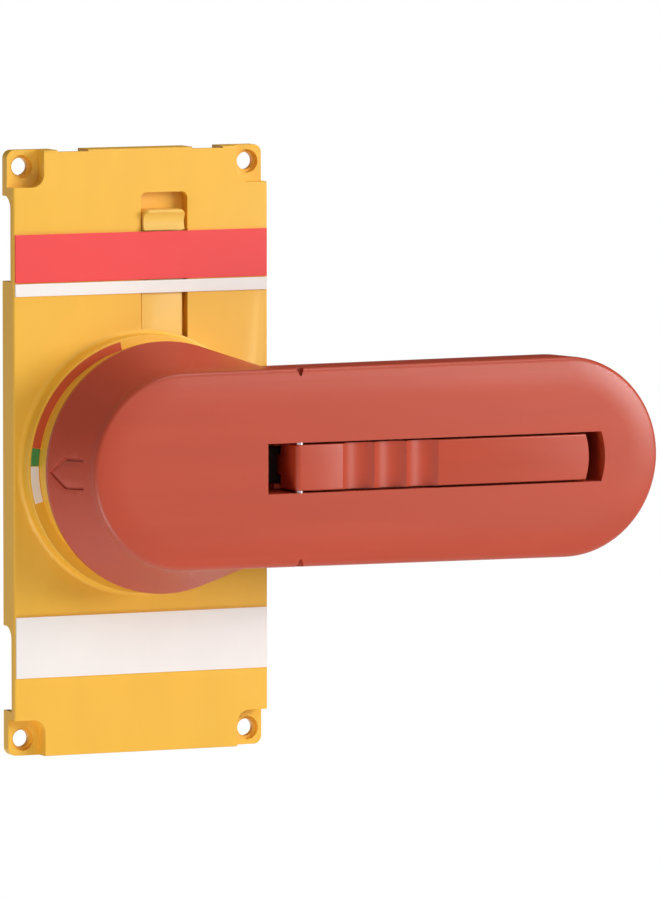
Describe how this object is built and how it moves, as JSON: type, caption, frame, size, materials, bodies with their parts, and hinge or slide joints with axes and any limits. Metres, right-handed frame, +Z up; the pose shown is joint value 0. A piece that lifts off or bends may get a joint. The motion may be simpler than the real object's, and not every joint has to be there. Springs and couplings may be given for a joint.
{
  "type": "rotary isolator switch",
  "caption": "Front rotary operator of an isolator: yellow plate with a hooded slide, raised hub and red direct lever with a padlock bar.",
  "frame": {"origin": "centre of the four corner fixing holes, on the plane where the plate's rim meets the switch", "axes": "+X to the right as the user sees it, along the lever at OFF; +Z up; -Y towards the user"},
  "size_m": [0.1729, 0.0492, 0.1596],
  "materials": {
    "yellow_plastic": "fine satin moulding",
    "pale_yellow_plastic": "fine satin moulding",
    "red_plastic": "satin moulding",
    "dark_red_plastic": "satin moulding",
    "red_print": "printed film",
    "white_print": "printed film",
    "green_print": "printed film",
    "black_nylon": "glass-filled nylon",
    "black_rubber": "matt",
    "zinc_plated_steel": "bright zinc plating",
    "blackened_steel": "black oxide, oiled",
    "spring_steel": "drawn wire and stampings"
  },
  "bodies": {
    "frame": {"front_plate": "yellow_plastic", "red_label": "red_print", "white_label": "white_print", "lower_label": "white_print", "red_sector": "red_print", "green_sector": "green_print", "white_sector": "white_print", "bearing_bush": "black_nylon", "rear_frame": "black_nylon", "frame_screws": "zinc_plated_steel"},
    "handle": {"handle_shell": "red_plastic", "handle_cover": "dark_red_plastic", "flange_screws": "zinc_plated_steel", "cover_screws": "zinc_plated_steel", "drive_shaft": "zinc_plated_steel", "shaft_clip": "spring_steel", "pinion": "zinc_plated_steel", "pinion_screw": "zinc_plated_steel", "hinge_pin": "zinc_plated_steel"},
    "padlock_bar": {"padlock_bar": "red_plastic"},
    "lock_bolt": {"lock_bolt": "blackened_steel"},
    "carriage": {"toggle_carriage": "black_nylon", "toggle_pads": "black_rubber", "rack": "zinc_plated_steel", "rack_screws": "zinc_plated_steel"},
    "release": {"release_slide": "pale_yellow_plastic", "release_spring": "spring_steel"}
  },
  "joints": [
    {"name": "handle_turn", "type": "hinge", "parent": "frame", "child": "handle", "pos_m": [0, 0, -0.0033], "axis": [0, 1, 0], "range_deg": [-15, 90]},
    {"name": "padlock_bar_lift", "type": "hinge", "parent": "handle", "child": "padlock_bar", "pos_m": [0.0326, -0.03665, -0.0033], "axis": [0, 0, -1], "range_deg": [0, 25]},
    {"name": "lock_bolt_slide", "type": "slide", "parent": "handle", "child": "lock_bolt", "axis": [1, 0, 0], "range_m": [0, 0.0048]},
    {"name": "carriage_slide", "type": "slide", "parent": "frame", "child": "carriage", "axis": [0, 0, 1], "range_m": [-0.0021, 0.0126]},
    {"name": "release_lift", "type": "slide", "parent": "frame", "child": "release", "axis": [0, 0, 1], "range_m": [0, 0.004], "stiffness_N_per_m": 200, "springref_m": -0.004, "deforming": ["release_spring"]}
  ],
  "couplings": [
    {"joint": "carriage_slide", "follows": "handle_turn", "m_per_rad": 0.008},
    {"joint": "lock_bolt_slide", "follows": "padlock_bar_lift", "m_per_rad": 0.011}
  ]
}
